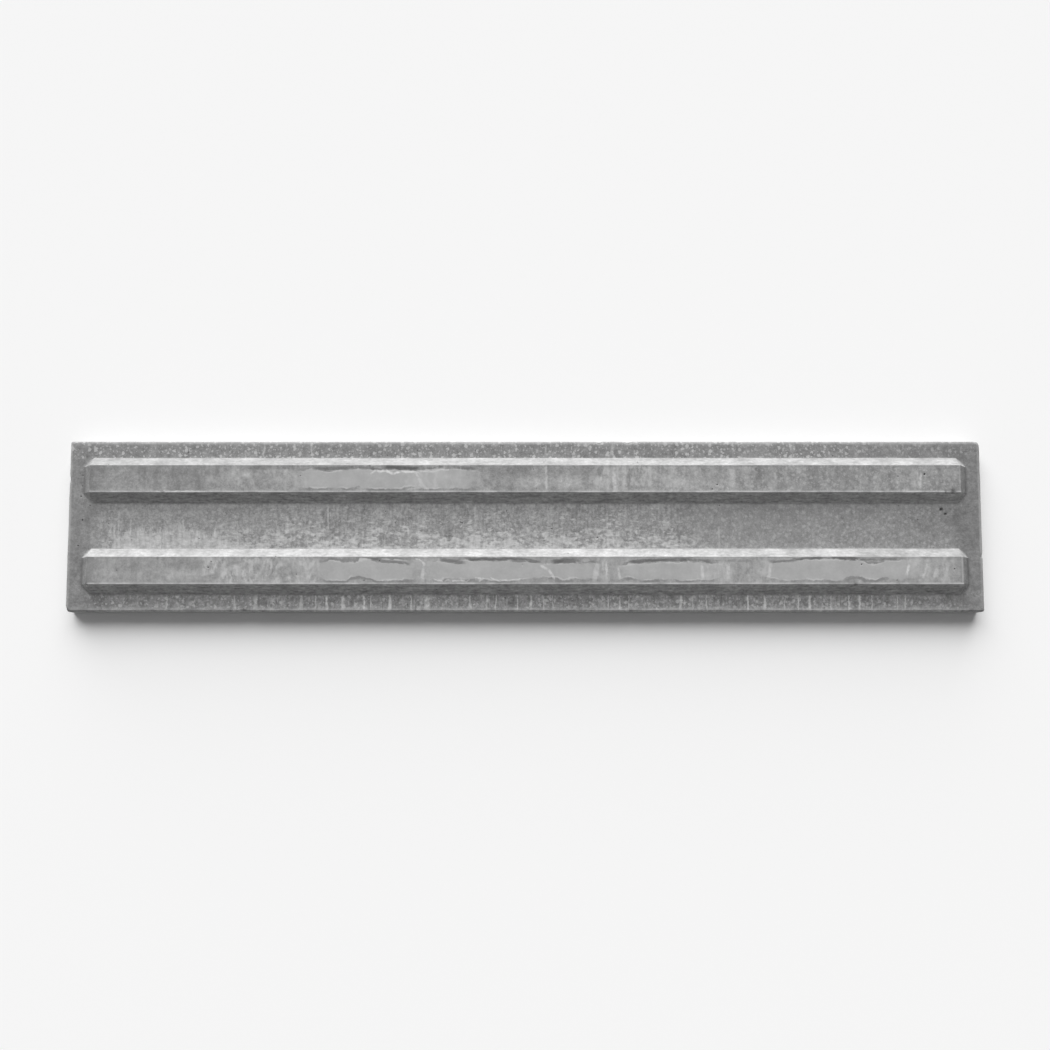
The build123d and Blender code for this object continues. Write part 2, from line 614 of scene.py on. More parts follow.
def front_level(x, y, pits):
    """Level of the front face at each point, worn, undulating and pitted."""
    wear = ARRIS_SOFTNESS * (1 + 0.6 * fractal(x, y * 0, 45 * MM, 3, 5.0).clip(-0.8, 1.5))
    wander_x = x + waves(x, y, RIB_WANDER_X)
    wander_y = y + waves(x, y, RIB_WANDER_Y)
    level = PLATE + sum(rib_rise(wander_x, wander_y, c, wear) for c in RIB_CENTRES)
    level += waves(x, y, FACE_WAVES)
    level += FILM_THICKNESS * smoothstep(-FILM_EDGE, FILM_EDGE, np.minimum(*film_fields(x, y)))
    return level - pit_share(x, y, pits)[1]


def round_corners(x, y, half_x, half_y, radius):
    """Moves the points near the corners of a rectangular loop onto arcs."""
    if radius <= 0:
        return x, y
    from_x = half_x - np.abs(x)
    from_y = half_y - np.abs(y)
    near = (from_x < radius) & (from_y < radius)
    angle = math.pi / 4 * (1 + (from_x - from_y) / radius)
    arc_x = half_x - radius + radius * np.cos(angle)
    arc_y = half_y - radius + radius * np.sin(angle)
    return np.where(near, np.sign(x) * arc_x, x), np.where(near, np.sign(y) * arc_y, y)


def triangles(points, loop_size):
    """Delaunay triangles of the points within the closed loop that the first of them make."""
    edges = [(i, (i + 1) % loop_size) for i in range(loop_size)]
    made = delaunay_2d_cdt([Vector(p) for p in points], edges, [], 1, 1e-8)
    first = [origins[0] for origins in made[3]]
    return [tuple(first[i] for i in face) for face in made[2]]


def front_plan(rng):
    """The front face's points in plan, those of its edge first, the number of these, and the pits."""
    half_x = HALF_LENGTH - END_DRAFT - FRONT_INSET
    half_y = HALF_HEIGHT - FRONT_INSET
    ends = [side * (CROWN_HALF_LENGTH + run) for side in (-1, 1) for run in (0, FLANK_RUN)]
    sides = [c + side * half for c in RIB_CENTRES for side in (-1, 1)
             for half in (CROWN_HALF_WIDTH, FOOT_HALF_WIDTH)]
    columns = ticks(sorted([-half_x, *ends, half_x]), GRID_STEP, ends)
    rows = ticks(sorted([-half_y, *sides, half_y]), GRID_STEP, sides)
    grid = np.stack(np.meshgrid(columns, rows), axis=-1)
    edge = np.concatenate([grid[0, :-1], grid[:-1, -1], grid[-1, :0:-1], grid[:0:-1, 0]])
    inner = grid[1:-1, 1:-1].reshape(-1, 2)
    pits = pit_list(rng)
    extra = []
    for x, y, radius in pits:
        inner = inner[np.hypot(inner[:, 0] - x, inner[:, 1] - y) > PIT_CLEARANCE * radius]
        extra += pit_points(x, y, radius, rng)
    return np.concatenate([edge, inner, np.array(extra)]), len(edge), pits


def side_loop(square, inset, level):
    """One loop of points round the board's edges, worn back a little and unevenly."""
    z = np.full(len(square), level * MM)
    half_x = HALF_LENGTH - END_DRAFT * z / PLATE - inset * MM
    half_y = HALF_HEIGHT - inset * MM
    x, y = round_corners(square[:, 0] * half_x, square[:, 1] * half_y, half_x, half_y,
                         CORNER_RADIUS - inset * MM)
    hollow = SIDE_WEAR * (0.7 + fractal(x + y, z, 25 * MM, 4, 47.0)).clip(0, 2)
    return np.column_stack([x - np.sign(x) * hollow * (np.abs(x) > half_x - MM),
                            y - np.sign(y) * hollow * (np.abs(y) > half_y - MM), z])


def side_loops(edge):
    """Loops of points from the front's edge down to the back's."""
    square = edge / np.abs(edge).max(axis=0)
    levels = np.linspace(BEVEL_LOOPS[-1][1], BACK_LOOPS[0][1], WALL_STEPS)[1:-1]
    walls = [(0.0, level) for level in levels]
    return [side_loop(square, inset, level) for inset, level in (*BEVEL_LOOPS, *walls, *BACK_LOOPS)]


def side_faces(starts, loop_size):
    """Faces between each loop and the next: starts holds the number of each loop's first point."""
    faces = []
    for above, below in zip(starts, starts[1:]):
        for i in range(loop_size):
            after = (i + 1) % loop_size
            faces.append((above + i, below + i, below + after, above + after))
    return faces


def back_face(ring, rng):
    """The back's points inside its ring, and its faces, numbered from the ring's first point."""
    reach = np.abs(ring).max(axis=0) - BACK_STEP
    inner = np.stack(np.meshgrid(*(even(-r, r, BACK_STEP) for r in reach)), axis=-1).reshape(-1, 2)
    inner += rng.uniform(-BACK_JITTER, BACK_JITTER, inner.shape) * BACK_STEP
    lift = BACK_LIFT * (1 + fractal(inner[:, 0], inner[:, 1], 60 * MM, 3, 41.0)).clip(0, 2)
    faces = triangles(np.concatenate([ring, inner]), len(ring))
    return np.column_stack([inner, lift]), [face[::-1] for face in faces]


def chipped(points):
    """The points with the chips broken out of the board's edges."""
    depth = chip_share(points)[1]
    x, y = points[:, 0], points[:, 1]
    inward = np.column_stack([-np.sign(x) * (HALF_LENGTH - np.abs(x) < CHIP_BAND),
                              -np.sign(y) * (HALF_HEIGHT - np.abs(y) < CHIP_BAND),
                              -np.ones(len(points))])
    inward /= np.linalg.norm(inward, axis=1)[:, None]
    return points + inward * depth[:, None]


def board_mesh():
    """Points and faces of the whole casting, and the front's pits."""
    rng = np.random.default_rng(SEED)
    plan, loop_size, pits = front_plan(rng)
    front = np.column_stack([plan, front_level(plan[:, 0], plan[:, 1], pits)])
    loops = side_loops(plan[:loop_size])
    inner, back = back_face(loops[-1][:, :2], rng)
    starts = [0, *(len(plan) + i * loop_size for i in range(len(loops)))]
    faces = triangles(plan, loop_size) + side_faces(starts, loop_size)
    faces += [tuple(starts[-1] + i for i in face) for face in back]
    return chipped(np.concatenate([front, *loops, inner])), faces, pits


def rib_zones(x, rise):
    """One rib's crown, upper and lower flanks, and the fine lines beside its arrises and feet: painted
    shade under the upper arris and at the feet, and worn paste with a painted highlight along the lower
    arris and the crown's end.
    """
    past_end = np.abs(x) - CROWN_HALF_LENGTH
    foot = FOOT_HALF_WIDTH - np.maximum(past_end, 0)
    on_crown = 1 - smoothstep(-1 * MM, 1 * MM, past_end)
    on_rib = 1 - smoothstep(FLANK_RUN - MM, FLANK_RUN + MM, past_end)
    across = np.abs(rise) < CROWN_HALF_WIDTH
    crown = (1 - smoothstep(-0.6 * MM, 0.6 * MM, np.abs(rise) - CROWN_HALF_WIDTH)) * on_crown
    flanks_both = []
    for side in (1, -1):
        start = smoothstep(-0.4 * MM, 0.7 * MM, side * rise - CROWN_HALF_WIDTH)
        stop = 1 - smoothstep(-0.8 * MM, 0.8 * MM, side * rise - foot)
        flanks_both.append(start * stop * on_rib)
    # Painted shade under the upper arris, worn paste with a painted highlight along the lower arris and
    # the crown's end, and painted shade at the feet
    under = bell(CROWN_HALF_WIDTH - rise - UNDER_ARRIS_SHADE[0], UNDER_ARRIS_SHADE[1]) * on_crown
    arris = bell(CROWN_HALF_WIDTH + rise - ARRIS_WEAR_AND_HIGHLIGHT[0], ARRIS_WEAR_AND_HIGHLIGHT[1]) * on_crown
    end_arris = bell(x - CROWN_HALF_LENGTH + END_ARRIS_WEAR_AND_HIGHLIGHT[0], END_ARRIS_WEAR_AND_HIGHLIGHT[1]) * across
    foot_shade_line = bell(rise + foot + FOOT_SHADE_LINE[0], FOOT_SHADE_LINE[1]) * on_rib
    foot_shade_line += 1.4 * bell(past_end - FLANK_RUN + END_FOOT_SHADE_LINE[0], END_FOOT_SHADE_LINE[1]) * across
    return np.array([crown, *flanks_both, under, np.maximum(arris, 0.35 * end_arris), foot_shade_line])


def zone_fields(x, y):
    """Weights of both ribs' crowns, flanks and fine lines."""
    names = ("crown", "upper", "lower", "under_arris_shade", "arris_wear_and_highlight", "foot_shade_line")
    return dict(zip(names, sum(rib_zones(x, y - centre) for centre in RIB_CENTRES)))


def line_fields(x, y):
    """Fields of the light and dark lines and of the films."""
    film, film_end = film_fields(x, y)
    fields = {"film": film, "film_end": film_end}
    for kind, lines in (("light", light_lines()), ("dark", dark_lines())):
        offset, width, strength = nearest_line(x, y, lines)
        fields |= {kind + "_offset": offset, kind + "_width": width, kind + "_strength": strength}
    return fields


def tone_fields(x, y, ragged, zones):
    """The tones of the front and of the flanks, the front darker at the two ends, which sit in the
    posts, and at the right end more: painted shade where the posts shaded them.
    """
    tone = np.interp(y, np.array([f[0] for f in ZONE_TONES]) * MM, [f[1] for f in ZONE_TONES])
    tone += (END_TONE - tone) * span("end tone", np.abs(ragged))
    # Painted shade at the two ends, where the posts shaded them
    ends = 1 - END_SHADE_FALLS[0] * span("left end", ragged) - END_SHADE_FALLS[1] * span("right end", ragged)
    fall = 1 - 0.10 * span("left fall", x) - 0.20 * span("right fall", x) * (y < 0)
    # Upper flanks paler: partly paler cement, partly painted light from the board's top edge
    upper_pale_and_lit_tone = np.where(y > 0, UPPER_FLANK_PALE_AND_LIT_TONES[1], UPPER_FLANK_PALE_AND_LIT_TONES[0])
    flank_tone = np.where(zones["lower"] > zones["upper"], LOWER_TONE, upper_pale_and_lit_tone) * fall
    return {"tone": tone * cloud_gain(x, y) * ends, "flank_tone": flank_tone}


def stain_fields(x, y, ragged, front, crown):
    """How much of each stain and grain the margins, the crowns and the band show."""
    band = span("band sides", np.abs(y)) * span("band ends", np.abs(ragged)) * front
    top = front * span("top margin", y)
    bottom = span("bottom margin", y) * front * span("margin ends", np.abs(ragged))
    low = span("band low", y)
    left = span("left part", x)
    far_left = span("far left", x)
    middle = 0.25 + 0.75 * left * np.maximum(span("middle", x), 0.7 * low)
    crown_grit = crown * (0.25 + 0.08 * far_left)
    band_grit = band * (middle * (0.42 + 0.68 * low) + 0.3 * span("far right", x))
    crown_spots = crown * (0.15 + 0.35 * (y > 0) * span("crown spots", x))
    crown_calm = crown * (np.where(y > 0, 0.15, 0.45) + 0.1 * far_left)
    return {
        "curl": crown * curl_strength(x, y),
        "bloom": band * (0.1 + 0.9 * left) * (0.25 + 0.75 * low) * span("bloom", x),
        "plume": band * far_left * span("plume", x) * low,
        "calm": 0.25 * band * (1 - left) + crown_calm,
        "mottle": middle * band * (0.35 + 0.65 * left),
        "grit": 0.2 * top + band_grit + 0.7 * bottom + crown_grit,
        "speckle": top * (1 - 0.55 * span("few spots", x)) + 0.42 * band + 0.7 * bottom + crown_spots,
        "drip": bottom,
        "run": bottom * span("runs", x) * (1 - 0.7 * span("few runs", x)),
    }


def surface_fields(points, pits):
    """Named fields that the concrete material reads at each point."""
    x, y, z = points.T
    front = span("front", z)
    zones = {name: front * weight for name, weight in zone_fields(x, y).items()}
    ragged = x + waves(x, y, RAGGED_ENDS)
    lines = line_fields(x, y)
    for kind in ("light", "dark"):
        lines[kind + "_strength"] *= front
    from_edge = np.minimum(HALF_LENGTH - np.abs(x), HALF_HEIGHT - np.abs(y))
    return {
        "front": front,
        "back": span("back", z),
        **zones,
        **lines,
        **tone_fields(x, y, ragged, zones),
        **stain_fields(x, y, ragged, front, zones["crown"]),
        "rim": bell(from_edge - RIM_LINE[0], RIM_LINE[1]) * front,
        "pit": np.maximum(pit_share(x, y, pits)[0] * front, 0.8 * chip_share(points)[0]),
    }


def make_board():
    """The casting as one Blender object with its fields."""
    points, faces, pits = board_mesh()
    mesh = bpy.data.meshes.new("gravel_board_cast")
    mesh.from_pydata(points.tolist(), [], faces)
    mesh.update()
    mesh.shade_smooth()
    for name, values in surface_fields(points, pits).items():
        attribute = mesh.attributes.new(name, "FLOAT", "POINT")
        attribute.data.foreach_set("value", np.asarray(values, np.float32))
    board = bpy.data.objects.new("gravel_board_cast", mesh)
    bpy.context.collection.objects.link(board)
    return board


class Graph:
    """Short ways to add nodes to a material."""

    def __init__(self, tree):
        self.tree = tree

    def add(self, kind, inputs=None, **settings):
        """A new node with these settings, whose inputs are linked to outputs or set to values."""
        node = self.tree.nodes.new("ShaderNode" + kind)
        for key, value in settings.items():
            setattr(node, key, value)
        for name, value in (inputs or {}).items():
            if isinstance(value, bpy.types.NodeSocket):
                self.tree.links.new(value, node.inputs[name])
            else:
                node.inputs[name].default_value = value
        return node

    def field(self, name):
        """A field of the mesh."""
        return self.add("Attribute", attribute_name=name).outputs["Fac"]

    def math(self, operation, a, b=0.0, c=0.0):
        """One sum, product or other operation."""
        return self.add("Math", {0: a, 1: b, 2: c}, operation=operation).outputs[0]

    def times(self, first, *others):
        """The product of all values."""
        for other in others:
            first = self.math("MULTIPLY", first, other)
        return first

    def plus(self, first, *others):
        """The sum of all values."""
        for other in others:
            first = self.math("ADD", first, other)
        return first

    def step(self, value, low, high, out_low=0.0, out_high=1.0):
        """Smooth step from out_low to out_high as value goes from low to high."""
        inputs = {"Value": value, "From Min": low, "From Max": high,
                  "To Min": out_low, "To Max": out_high}
        return self.add("MapRange", inputs, interpolation_type="SMOOTHSTEP").outputs["Result"]

    def line(self, distance, half_width):
        """1 where the distance is about zero, fading to 0 at half_width."""
        return self.step(self.math("ABSOLUTE", distance), 0.3 * half_width, half_width, 1.0, 0.0)

    def place(self, stretch=(1, 1, 1), shift=(0, 0, 0)):
        """The object's own coordinates, stretched and shifted."""
        source = self.add("TexCoord").outputs["Object"]
        inputs = {"Vector": source, "Scale": [1 / s for s in stretch], "Location": shift}
        return self.add("Mapping", inputs).outputs["Vector"]

    def noise(self, size, detail=3.0, roughness=0.55, stretch=(1, 1, 1), shift=0.0, distortion=0.0):
        """Noise of 0 to 1 with features of the given size, stretched along some axes."""
        place = self.place(stretch, (shift, 0.7 * shift, 0.3 * shift))
        inputs = {"Vector": place, "Scale": 1 / size, "Detail": detail, "Roughness": roughness,
                  "Distortion": distortion}
        return self.add("TexNoise", inputs).outputs["Fac"]

    def cells(self, place, size, **settings):
        """Distance to the middle of the nearest cell, in cells, and that cell's random colour."""
        found = self.add("TexVoronoi", {"Vector": place, "Scale": 1 / size}, **settings)
        colour = self.add("SeparateColor", {"Color": found.outputs["Color"]})
        return found.outputs["Distance"], colour.outputs

    def vary(self, value, texture, amount):
        """Value made lighter and darker by a texture of 0 to 1."""
        return self.times(value, self.math("MULTIPLY_ADD", texture, 2 * amount, 1 - amount))

    def blend(self, a, b, share):
        """From a to b by share."""
        inputs = {"Factor": share, "A": a, "B": b}
        return self.add("Mix", inputs, data_type="FLOAT").outputs["Result"]


def mark(g, tone, name, *shares):
    """The tone with a named mark laid over it where the shares say."""
    paint, cover = MARKS[name]
    return g.blend(tone, paint, g.times(*shares, cover))


def spots(g, size, low, high, shift):
    """Irregular rounded spots, 0 to 1, one to a cell at most, that reach low to high cells far."""
    shove = g.add("TexNoise", {"Vector": g.place(), "Scale": 2.5 / size}).outputs["Color"]
    shove = g.add("VectorMath", {0: shove, "Scale": 0.75 * size}, operation="SCALE").outputs[0]
    moved = g.add("VectorMath", {0: g.place(shift=(shift, shift, 0)), 1: shove}, operation="ADD")
    distance, colour = g.cells(moved.outputs[0], size, voronoi_dimensions="2D")
    reach = g.step(colour["Red"], 0.3, 1.0, low, high)
    return g.step(distance, reach, g.plus(reach, 0.10), 1.0, 0.0)


def mottled(g, tone, grain, strength=1.0):
    """The tone with the clouding and grain of cast concrete at several sizes."""
    for size, detail, roughness, shift, amount in MOTTLING:
        texture = g.noise(size * MM, detail, roughness, shift=shift)
        tone = g.vary(tone, texture, amount * strength)
    return g.vary(tone, grain, GRAIN_AMOUNT * strength)


def gritted(g, tone):
    """The tone with crisp small light and dark flecks, which the smooth parts lack."""
    grit = g.noise(7 * MM, 3.0, 0.62, shift=9.1)
    clumps = g.step(g.noise(40 * MM, 3.0, 0.6, shift=2.6), 0.35, 0.65, 0.6, 1.3)
    uneven = g.math("MULTIPLY_ADD", g.plus(grit, -0.5), clumps, 0.5)
    uneven = g.math("MAXIMUM", uneven, 0.37)
    return g.blend(tone, g.vary(tone, uneven, 0.9), g.field("grit"))


def band_stains(g, tone):
    """Light bloom low in the band between the ribs, rising in plumes at its left end."""
    cloud = g.noise(34 * MM, 5.0, 0.65, stretch=(1.6, 1, 1), shift=4.4)
    flecks = g.noise(6 * MM, 2.5, 0.65, stretch=(1.8, 1, 1), shift=8.1)
    mixed = g.plus(g.times(cloud, 0.65), g.times(flecks, 0.35))
    level = g.math("MULTIPLY_ADD", g.field("bloom"), 0.14, mixed)
    bloom = g.times(g.step(level, 0.58, 0.69), g.math("MULTIPLY_ADD", g.field("bloom"), 0.6, 0.4))
    tone = g.blend(tone, g.vary(BLOOM_TONE, flecks, 0.6), g.times(bloom, g.field("mottle"), 0.8))
    wisps = g.noise(9 * MM, 4.0, 0.65, stretch=(1, 4, 1), shift=1.9)
    plume = g.step(g.math("MULTIPLY_ADD", g.field("plume"), 0.50, wisps), 0.72, 0.96)
    tone = g.blend(tone, g.vary(g.vary(PLUME_TONE, flecks, 0.5), wisps, 0.4), g.times(plume, 0.75))
    threads = g.noise(5 * MM, 3.0, 0.6, stretch=(1, 9, 1), shift=5.7)
    tone = g.blend(tone, g.vary(tone, threads, 0.5), g.times(g.field("mottle"), 0.8))
    shade = g.times(g.step(cloud, 0.50, 0.40), g.step(flecks, 0.56, 0.44), g.field("mottle"))
    tone = mark(g, tone, "band shade", shade)
    bright = g.times(g.step(flecks, 0.56, 0.66), g.field("mottle"), g.step(cloud, 0.36, 0.52, 0.25, 1.0))
    share = g.math("MULTIPLY_ADD", g.field("bloom"), 0.3, 0.3)
    return g.blend(tone, FLECK_TONE, g.times(bright, share))


def speckles(g, tone):
    """Pale spots, most of them on the top margin."""
    large = spots(g, 11.5 * MM, 0.02, 0.25, 0.31)
    small = g.times(spots(g, 7 * MM, -0.02, 0.24, 0.77), 0.65)
    few = g.step(g.noise(50 * MM, 2.0, shift=5.1), 0.32, 0.50, 0.72, 1.0)
    spot = g.times(g.math("MAXIMUM", large, small), few, g.field("speckle"))
    return mark(g, tone, "spot", spot), spot


def drips(g, tone):
    """Light and dark streaks that ran down the bottom margin."""
    drip = g.field("drip")
    broad = g.noise(30 * MM, 3.0, 0.6, stretch=(1, 3, 1), shift=5.2)
    tone = g.blend(tone, g.vary(tone, broad, 0.2), drip)
    patches = g.noise(8 * MM, 3.0, 0.65, shift=3.8)
    tone = g.blend(tone, g.vary(tone, patches, 0.6), drip)
    streaked = g.times(g.step(g.noise(90 * MM, 2.0, shift=1.2), 0.42, 0.58), g.field("run"))
    narrow = g.noise(4.2 * MM, 2.0, 0.6, stretch=(1, 10, 1), shift=6.6)
    light = g.times(g.step(narrow, 0.56, 0.66), streaked)
    tone = mark(g, tone, "light run", light)
    dark = g.times(g.step(narrow, 0.44, 0.34), streaked)
    return mark(g, tone, "dark run", dark)


def crown_bands(g, tone):
    """Soft bands across the crowns, lighter and darker along the board."""
    bands = g.noise(17 * MM, 3.0, 0.55, stretch=(1, 5, 1), shift=3.4)
    return g.blend(tone, g.vary(tone, bands, 0.42), g.field("crown"))


def films(g, tone):
    """Smooth pale films on the crowns, with a broken light rim and a dark line below them: a painted
    highlight and a painted shadow of the films' raised edges.
    """
    crown = g.field("crown")
    edge = g.noise(10 * MM, 3.0, 0.6, shift=9.4)
    film = g.math("MULTIPLY_ADD", edge, 8 * MM, g.plus(g.field("film"), -4 * MM))
    fade = g.noise(16 * MM, 3.0, 0.65, stretch=(1.6, 1, 1), shift=5.9)
    end = g.math("MULTIPLY_ADD", fade, 70 * MM, g.plus(g.field("film_end"), -35 * MM))
    end = g.step(end, -10 * MM, 50 * MM)
    inside = g.times(g.step(film, -1.2 * MM, 2.0 * MM), end, crown)
    smooth = g.vary(FILM_TONE, g.noise(40 * MM, 2.0, shift=0.6), 0.22)
    smooth = g.vary(smooth, g.noise(5 * MM, 3.0, shift=0.9), 0.10)
    tone = g.blend(tone, smooth, g.times(inside, 0.9))
    broken = g.step(g.noise(34 * MM, 3.0, 0.6, shift=2.9), 0.44, 0.58)
    far = g.times(end, end)
    # Painted highlight along the films' raised edges
    rim = g.times(g.line(g.plus(film, -1.4 * MM), 2.4 * MM), crown, broken, far)
    tone = mark(g, tone, "film rim highlight", rim)
    gaps = g.step(g.noise(42 * MM, 3.0, 0.6, stretch=(1, 3, 1), shift=7.4), 0.42, 0.56)
    # Painted shadow beside the films' raised edges
    dark = g.times(g.line(g.plus(film, 2.6 * MM), 4.2 * MM), crown, far, gaps)
    return mark(g, tone, "film shadow", dark), inside


def line_share(g, kind, sway, wave):
    """How much of a light or dark line covers each point: kind names its fields."""
    offset = g.math("MULTIPLY_ADD", wave, 2 * sway, g.plus(g.field(kind + "_offset"), -sway))
    width = g.field(kind + "_width")
    share = g.math("DIVIDE", g.math("ABSOLUTE", offset), width)
    return g.times(g.step(share, 0.4, 1.5, 1.0, 0.0), g.field(kind + "_strength"))


def dark_streaks(g, tone):
    """Ragged dark streaks between the films and the upper arrises: painted shade below the arrises'
    ledge.
    """
    ragged = g.noise(9 * MM, 4.0, 0.7, stretch=(2.2, 1, 1), shift=1.3)
    streak = g.times(line_share(g, "dark", 4.5 * MM, ragged), g.step(ragged, 0.30, 0.50, 0.5, 1.0))
    return mark(g, tone, "dark streak and shade", streak), streak


def light_veins_and_highlights(g, tone):
    """Light veins across the crowns, drips below them, and curly light lines between; some of the light
    lines are painted highlights along the films' edges and a lower arris.
    """
    wave = g.noise(9 * MM, 3.0, 0.6, shift=3.7)
    worn = g.step(g.noise(8 * MM, 4.0, 0.7, shift=6.1), 0.34, 0.56, 0.4, 1.0)
    # Veins, and painted highlights along the films' edges and a lower arris
    tone = mark(g, tone, "vein_and_highlight", line_share(g, "light", 3.0 * MM, wave), worn)
    swirl = g.noise(30 * MM, 1.0, 0.5, stretch=(1, 1.6, 1), shift=8.8, distortion=0.9)
    thick = g.step(g.noise(26 * MM, 2.0, shift=0.4), 0.35, 0.65, 0.07, 0.24)
    away = g.math("DIVIDE", g.math("ABSOLUTE", g.plus(swirl, -0.5)), thick)
    curl = g.step(away, 0.0, 1.0, 1.0, 0.0)
    some = g.step(g.noise(45 * MM, 2.0, shift=7.2), 0.36, 0.50)
    smoke = g.step(g.noise(13 * MM, 3.0, 0.6, stretch=(0.8, 1.6, 1), shift=1.1), 0.46, 0.64)
    tone = mark(g, tone, "smoke", smoke, some, g.field("curl"))
    return mark(g, tone, "curl", curl, some, worn, g.field("curl"))


def rib_shade_and_highlight_lines(g, tone):
    """The fine lines along the ribs' arrises and feet, and the paler edge of the board: painted shade
    under the upper arrises and at the feet, and worn paste with a painted highlight along the lower
    arrises.
    """
    uneven = g.noise(30 * MM, 4.0, 0.65, stretch=(1, 8, 8), shift=5.5)
    share = g.step(uneven, 0.35, 0.65, 0.35, 1.0)
    # Painted shade under the upper arrises and at the feet, worn paste with a painted highlight along
    # the lower arrises
    tone = mark(g, tone, "under arris shade", g.field("under_arris_shade"), share)
    tone = mark(g, tone, "arris", g.field("arris_wear_and_highlight"), share)
    tone = mark(g, tone, "foot", g.field("foot_shade_line"), share)
    return mark(g, tone, "rim", g.field("rim"), share)


def flanks(g, tone):
    """The ribs' sloping flanks, smoother than the rest and faintly streaked along the board; the upper
    flanks are painted paler than the lower, partly paler smooth cement and partly painted light from the
    board's top edge.
    """
    streaks = g.noise(4.5 * MM, 4.0, 0.7, stretch=(6, 1, 1), shift=4.1)
    specks = g.noise(5 * MM, 2.5, 0.65, stretch=(1.6, 1, 1), shift=1.7)
    clouds = g.noise(40 * MM, 3.0, 0.6, shift=3.3)
    for side, amounts in FLANK_VARIETY.items():
        flank = g.field("flank_tone")
        for texture, amount in zip((streaks, specks, clouds), amounts):
            flank = g.vary(flank, texture, amount)
        tone = g.blend(tone, flank, g.field(side))
    return tone


def pinholes(g):
    """Small round holes left by air in the sides and the back, 0 to 1."""
    distance, colour = g.cells(g.place(), 14 * MM)
    reach = g.step(colour["Green"], 0.35, 1.0, 0.0, 0.17)
    hole = g.step(distance, g.times(reach, 0.6), g.plus(reach, 0.01), 1.0, 0.0)
    return g.times(hole, g.step(reach, 0.0, 0.02), g.math("SUBTRACT", 1.0, g.field("front")))


def plain_sides(g, grain):
    """The tone of the sides, and of the back with the lines left when it was struck off."""
    tone = g.vary(mottled(g, SIDE_TONE, grain, 0.75), g.noise(260 * MM, 3.0, shift=6.3), 0.25)
    lines = g.noise(7 * MM, 4.0, 0.65, stretch=(26, 1, 1), shift=2.1)
    arcs = g.noise(60 * MM, 3.0, 0.6, stretch=(1, 3, 1), shift=7.9, distortion=1.2)
    back = g.vary(g.vary(tone, lines, 0.5), arcs, 0.5)
    return g.blend(tone, back, g.field("back")), g.times(lines, g.field("back"))


def front_tone(g, grain):
    """The tone of the front, and how much of it the films, spots and dark streaks cover."""
    tone = g.blend(mottled(g, g.field("tone"), grain), g.field("tone"), g.field("calm"))
    tone = gritted(g, tone)
    tone = band_stains(g, tone)
    tone, spot = speckles(g, tone)
    tone = drips(g, tone)
    tone = crown_bands(g, tone)
    tone, film = films(g, tone)
    tone, streak = dark_streaks(g, tone)
    tone = light_veins_and_highlights(g, tone)
    tone = flanks(g, tone)
    return rib_shade_and_highlight_lines(g, tone), film, spot, streak


def concrete():
    """Cast concrete: mottled, speckled and stained, with smooth films and veins on the crowns."""
    material = bpy.data.materials.new("cast_concrete")
    material.use_nodes = True
    material.node_tree.nodes.clear()
    g = Graph(material.node_tree)
    grain = g.noise(3.2 * MM, 4.0, 0.65, shift=1.3)

    tone, film, spot, streak = front_tone(g, grain)
    sides, lines = plain_sides(g, grain)
    holes = pinholes(g)
    # The pinholes are only bumped, and their dark tone is painted shade
    tone = g.blend(mark(g, sides, "hole", holes), tone, g.field("front"))
    tone = g.times(tone, g.step(g.field("pit"), 0.1, 0.9, 1.0, PIT_SHADE))
    tone = g.math("MINIMUM", tone, PALEST)

    flank = g.math("MAXIMUM", g.field("upper"), g.field("lower"))
    rough = g.blend(g.vary(BARE_ROUGH, grain, 0.08), FILM_ROUGH, g.times(film, 0.8))
    rough = g.blend(rough, g.vary(FLANK_ROUGH, grain, 0.2), flank)

    smooth = g.math("SUBTRACT", 1.0, g.times(g.math("MAXIMUM", film, flank), 0.7))
    coarse = g.plus(g.times(grain, 0.40), g.times(g.noise(9 * MM, 4.0, 0.7, shift=2.3), 0.9))
    marks = {"film": film, "spot": spot, "streak": streak, "hole": holes, "line": lines}
    heights = [g.times(marks[name], height) for name, height in MARK_HEIGHTS.items()]
    relief = g.plus(g.times(coarse, smooth), *heights)

    bump = g.add("Bump", {"Strength": BUMP_STRENGTH, "Distance": BUMP_DEPTH, "Height": relief})
    shader = g.add("BsdfPrincipled", {"Base Color": tone, "Roughness": rough,
                                      "Specular IOR Level": 0.5, "Normal": bump.outputs["Normal"]})
    g.add("OutputMaterial", {"Surface": shader.outputs["BSDF"]})
    return material


# Stage, with angles in degrees
FLOOR_HALF = 14.0
FLOOR_TONE = 0.96
BACKDROP = 0.93
LAMP_ELEVATION = 30
LAMP_TURN = 8
LAMP_SPREAD = 70
LAMP_POWER = 4.75
LAMP_DISTANCE = 3
FILL = 0.20
VIEW_DISTANCE = 1.95     # from the camera to the plate's face
VIEW_FOOT = -0.31        # where the camera stands over the board, below its middle
VIEW_WIDTH = 2.09        # what the picture's width covers at the plate's face
VIEW_PITCH = 4.0         # lean of the camera towards the board


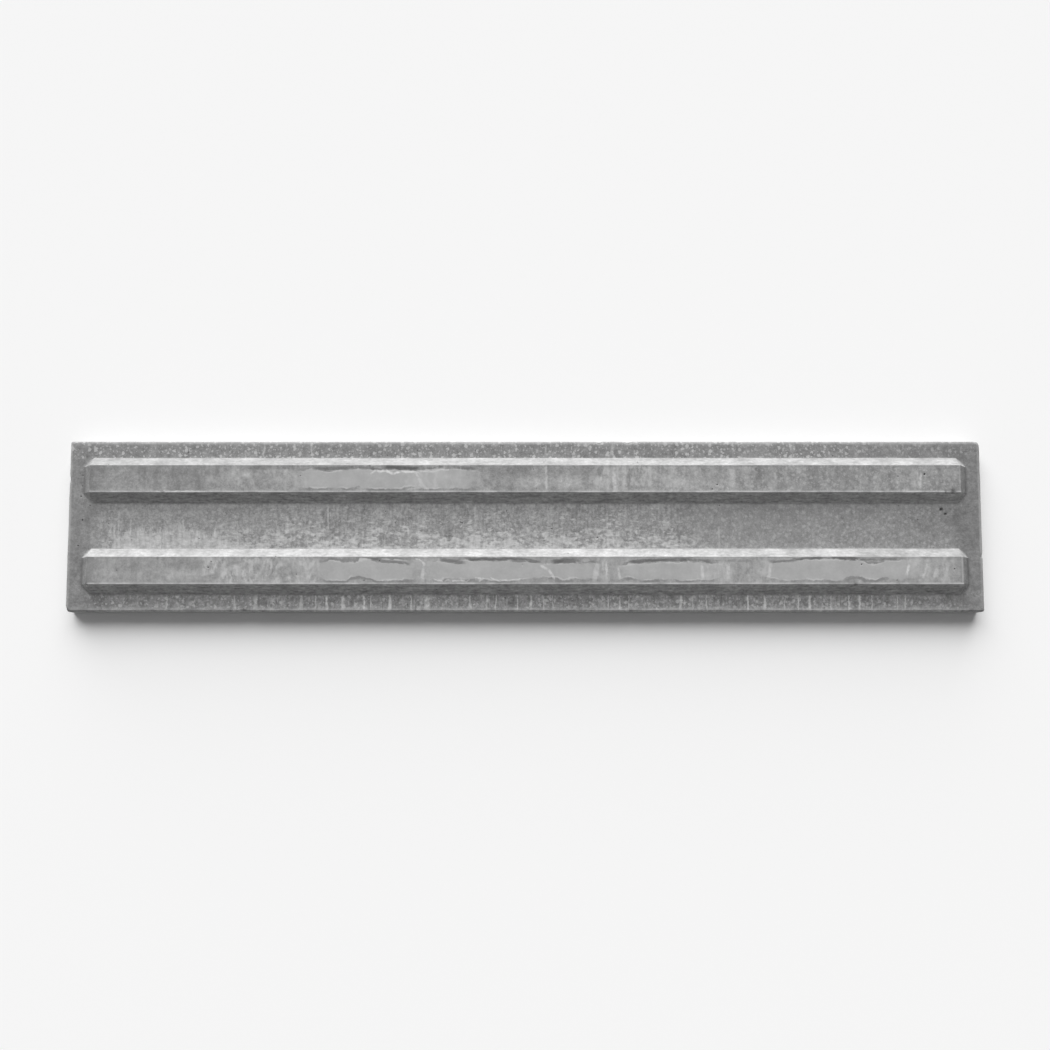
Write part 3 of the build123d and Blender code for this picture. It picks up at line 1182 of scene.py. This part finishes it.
def make_floor():
    """A plain pale floor under the board."""
    mesh = bpy.data.meshes.new("floor")
    corners = [(-FLOOR_HALF, -FLOOR_HALF, 0), (FLOOR_HALF, -FLOOR_HALF, 0),
               (FLOOR_HALF, FLOOR_HALF, 0), (-FLOOR_HALF, FLOOR_HALF, 0)]
    mesh.from_pydata(corners, [], [(0, 1, 2, 3)])
    floor = bpy.data.objects.new("floor", mesh)
    bpy.context.collection.objects.link(floor)
    material = bpy.data.materials.new("pale_floor")
    material.use_nodes = True
    shader = material.node_tree.nodes["Principled BSDF"]
    shader.inputs["Base Color"].default_value = (FLOOR_TONE, FLOOR_TONE, FLOOR_TONE, 1)
    shader.inputs["Roughness"].default_value = 1.0
    shader.inputs["Specular IOR Level"].default_value = 0.0
    mesh.materials.append(material)


def make_light():
    """One broad soft lamp beyond the board's top edge, and an even fill from all round."""
    lamp = bpy.data.lights.new("soft_lamp", "SUN")
    lamp.energy = LAMP_POWER
    lamp.angle = math.radians(LAMP_SPREAD)
    holder = bpy.data.objects.new("soft_lamp", lamp)
    elevation = math.radians(LAMP_ELEVATION)
    turn = math.radians(LAMP_TURN)
    level = math.cos(elevation)
    towards = Vector((-math.sin(turn) * level, math.cos(turn) * level, math.sin(elevation)))
    holder.rotation_mode = "QUATERNION"
    holder.rotation_quaternion = towards.to_track_quat("Z", "Y")
    holder.location = towards * LAMP_DISTANCE
    bpy.context.collection.objects.link(holder)

    world = bpy.data.worlds.new("studio")
    bpy.context.scene.world = world
    world.use_nodes = True
    tree = world.node_tree
    tree.nodes.clear()
    g = Graph(tree)
    path = g.add("LightPath").outputs
    seen = g.math("MAXIMUM", path["Is Camera Ray"], path["Is Glossy Ray"])
    seen = g.math("MAXIMUM", seen, path["Is Transmission Ray"])
    background = g.add("Background", {"Color": (1, 1, 1, 1), "Strength": g.blend(FILL, BACKDROP, seen)})
    g.add("OutputWorld", {"Surface": background.outputs[0]})


def make_camera():
    """A camera that looks down on the board from a little below its middle."""
    data = bpy.data.cameras.new("camera")
    data.sensor_width = 36
    data.lens = data.sensor_width * VIEW_DISTANCE / VIEW_WIDTH
    pitch = math.radians(VIEW_PITCH)
    aim = VIEW_FOOT + VIEW_DISTANCE * math.tan(pitch)
    data.shift_y = -aim / VIEW_WIDTH
    camera = bpy.data.objects.new("camera", data)
    camera.location = (0, VIEW_FOOT, PLATE + VIEW_DISTANCE)
    camera.rotation_euler = (pitch, 0, 0)
    bpy.context.collection.objects.link(camera)
    bpy.context.scene.camera = camera


make_camera()
make_light()
make_floor()
board = make_board()
board.data.materials.append(concrete())
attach(board, "root")
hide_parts("gravel_board")
bpy.context.scene.view_settings.view_transform = "Standard"
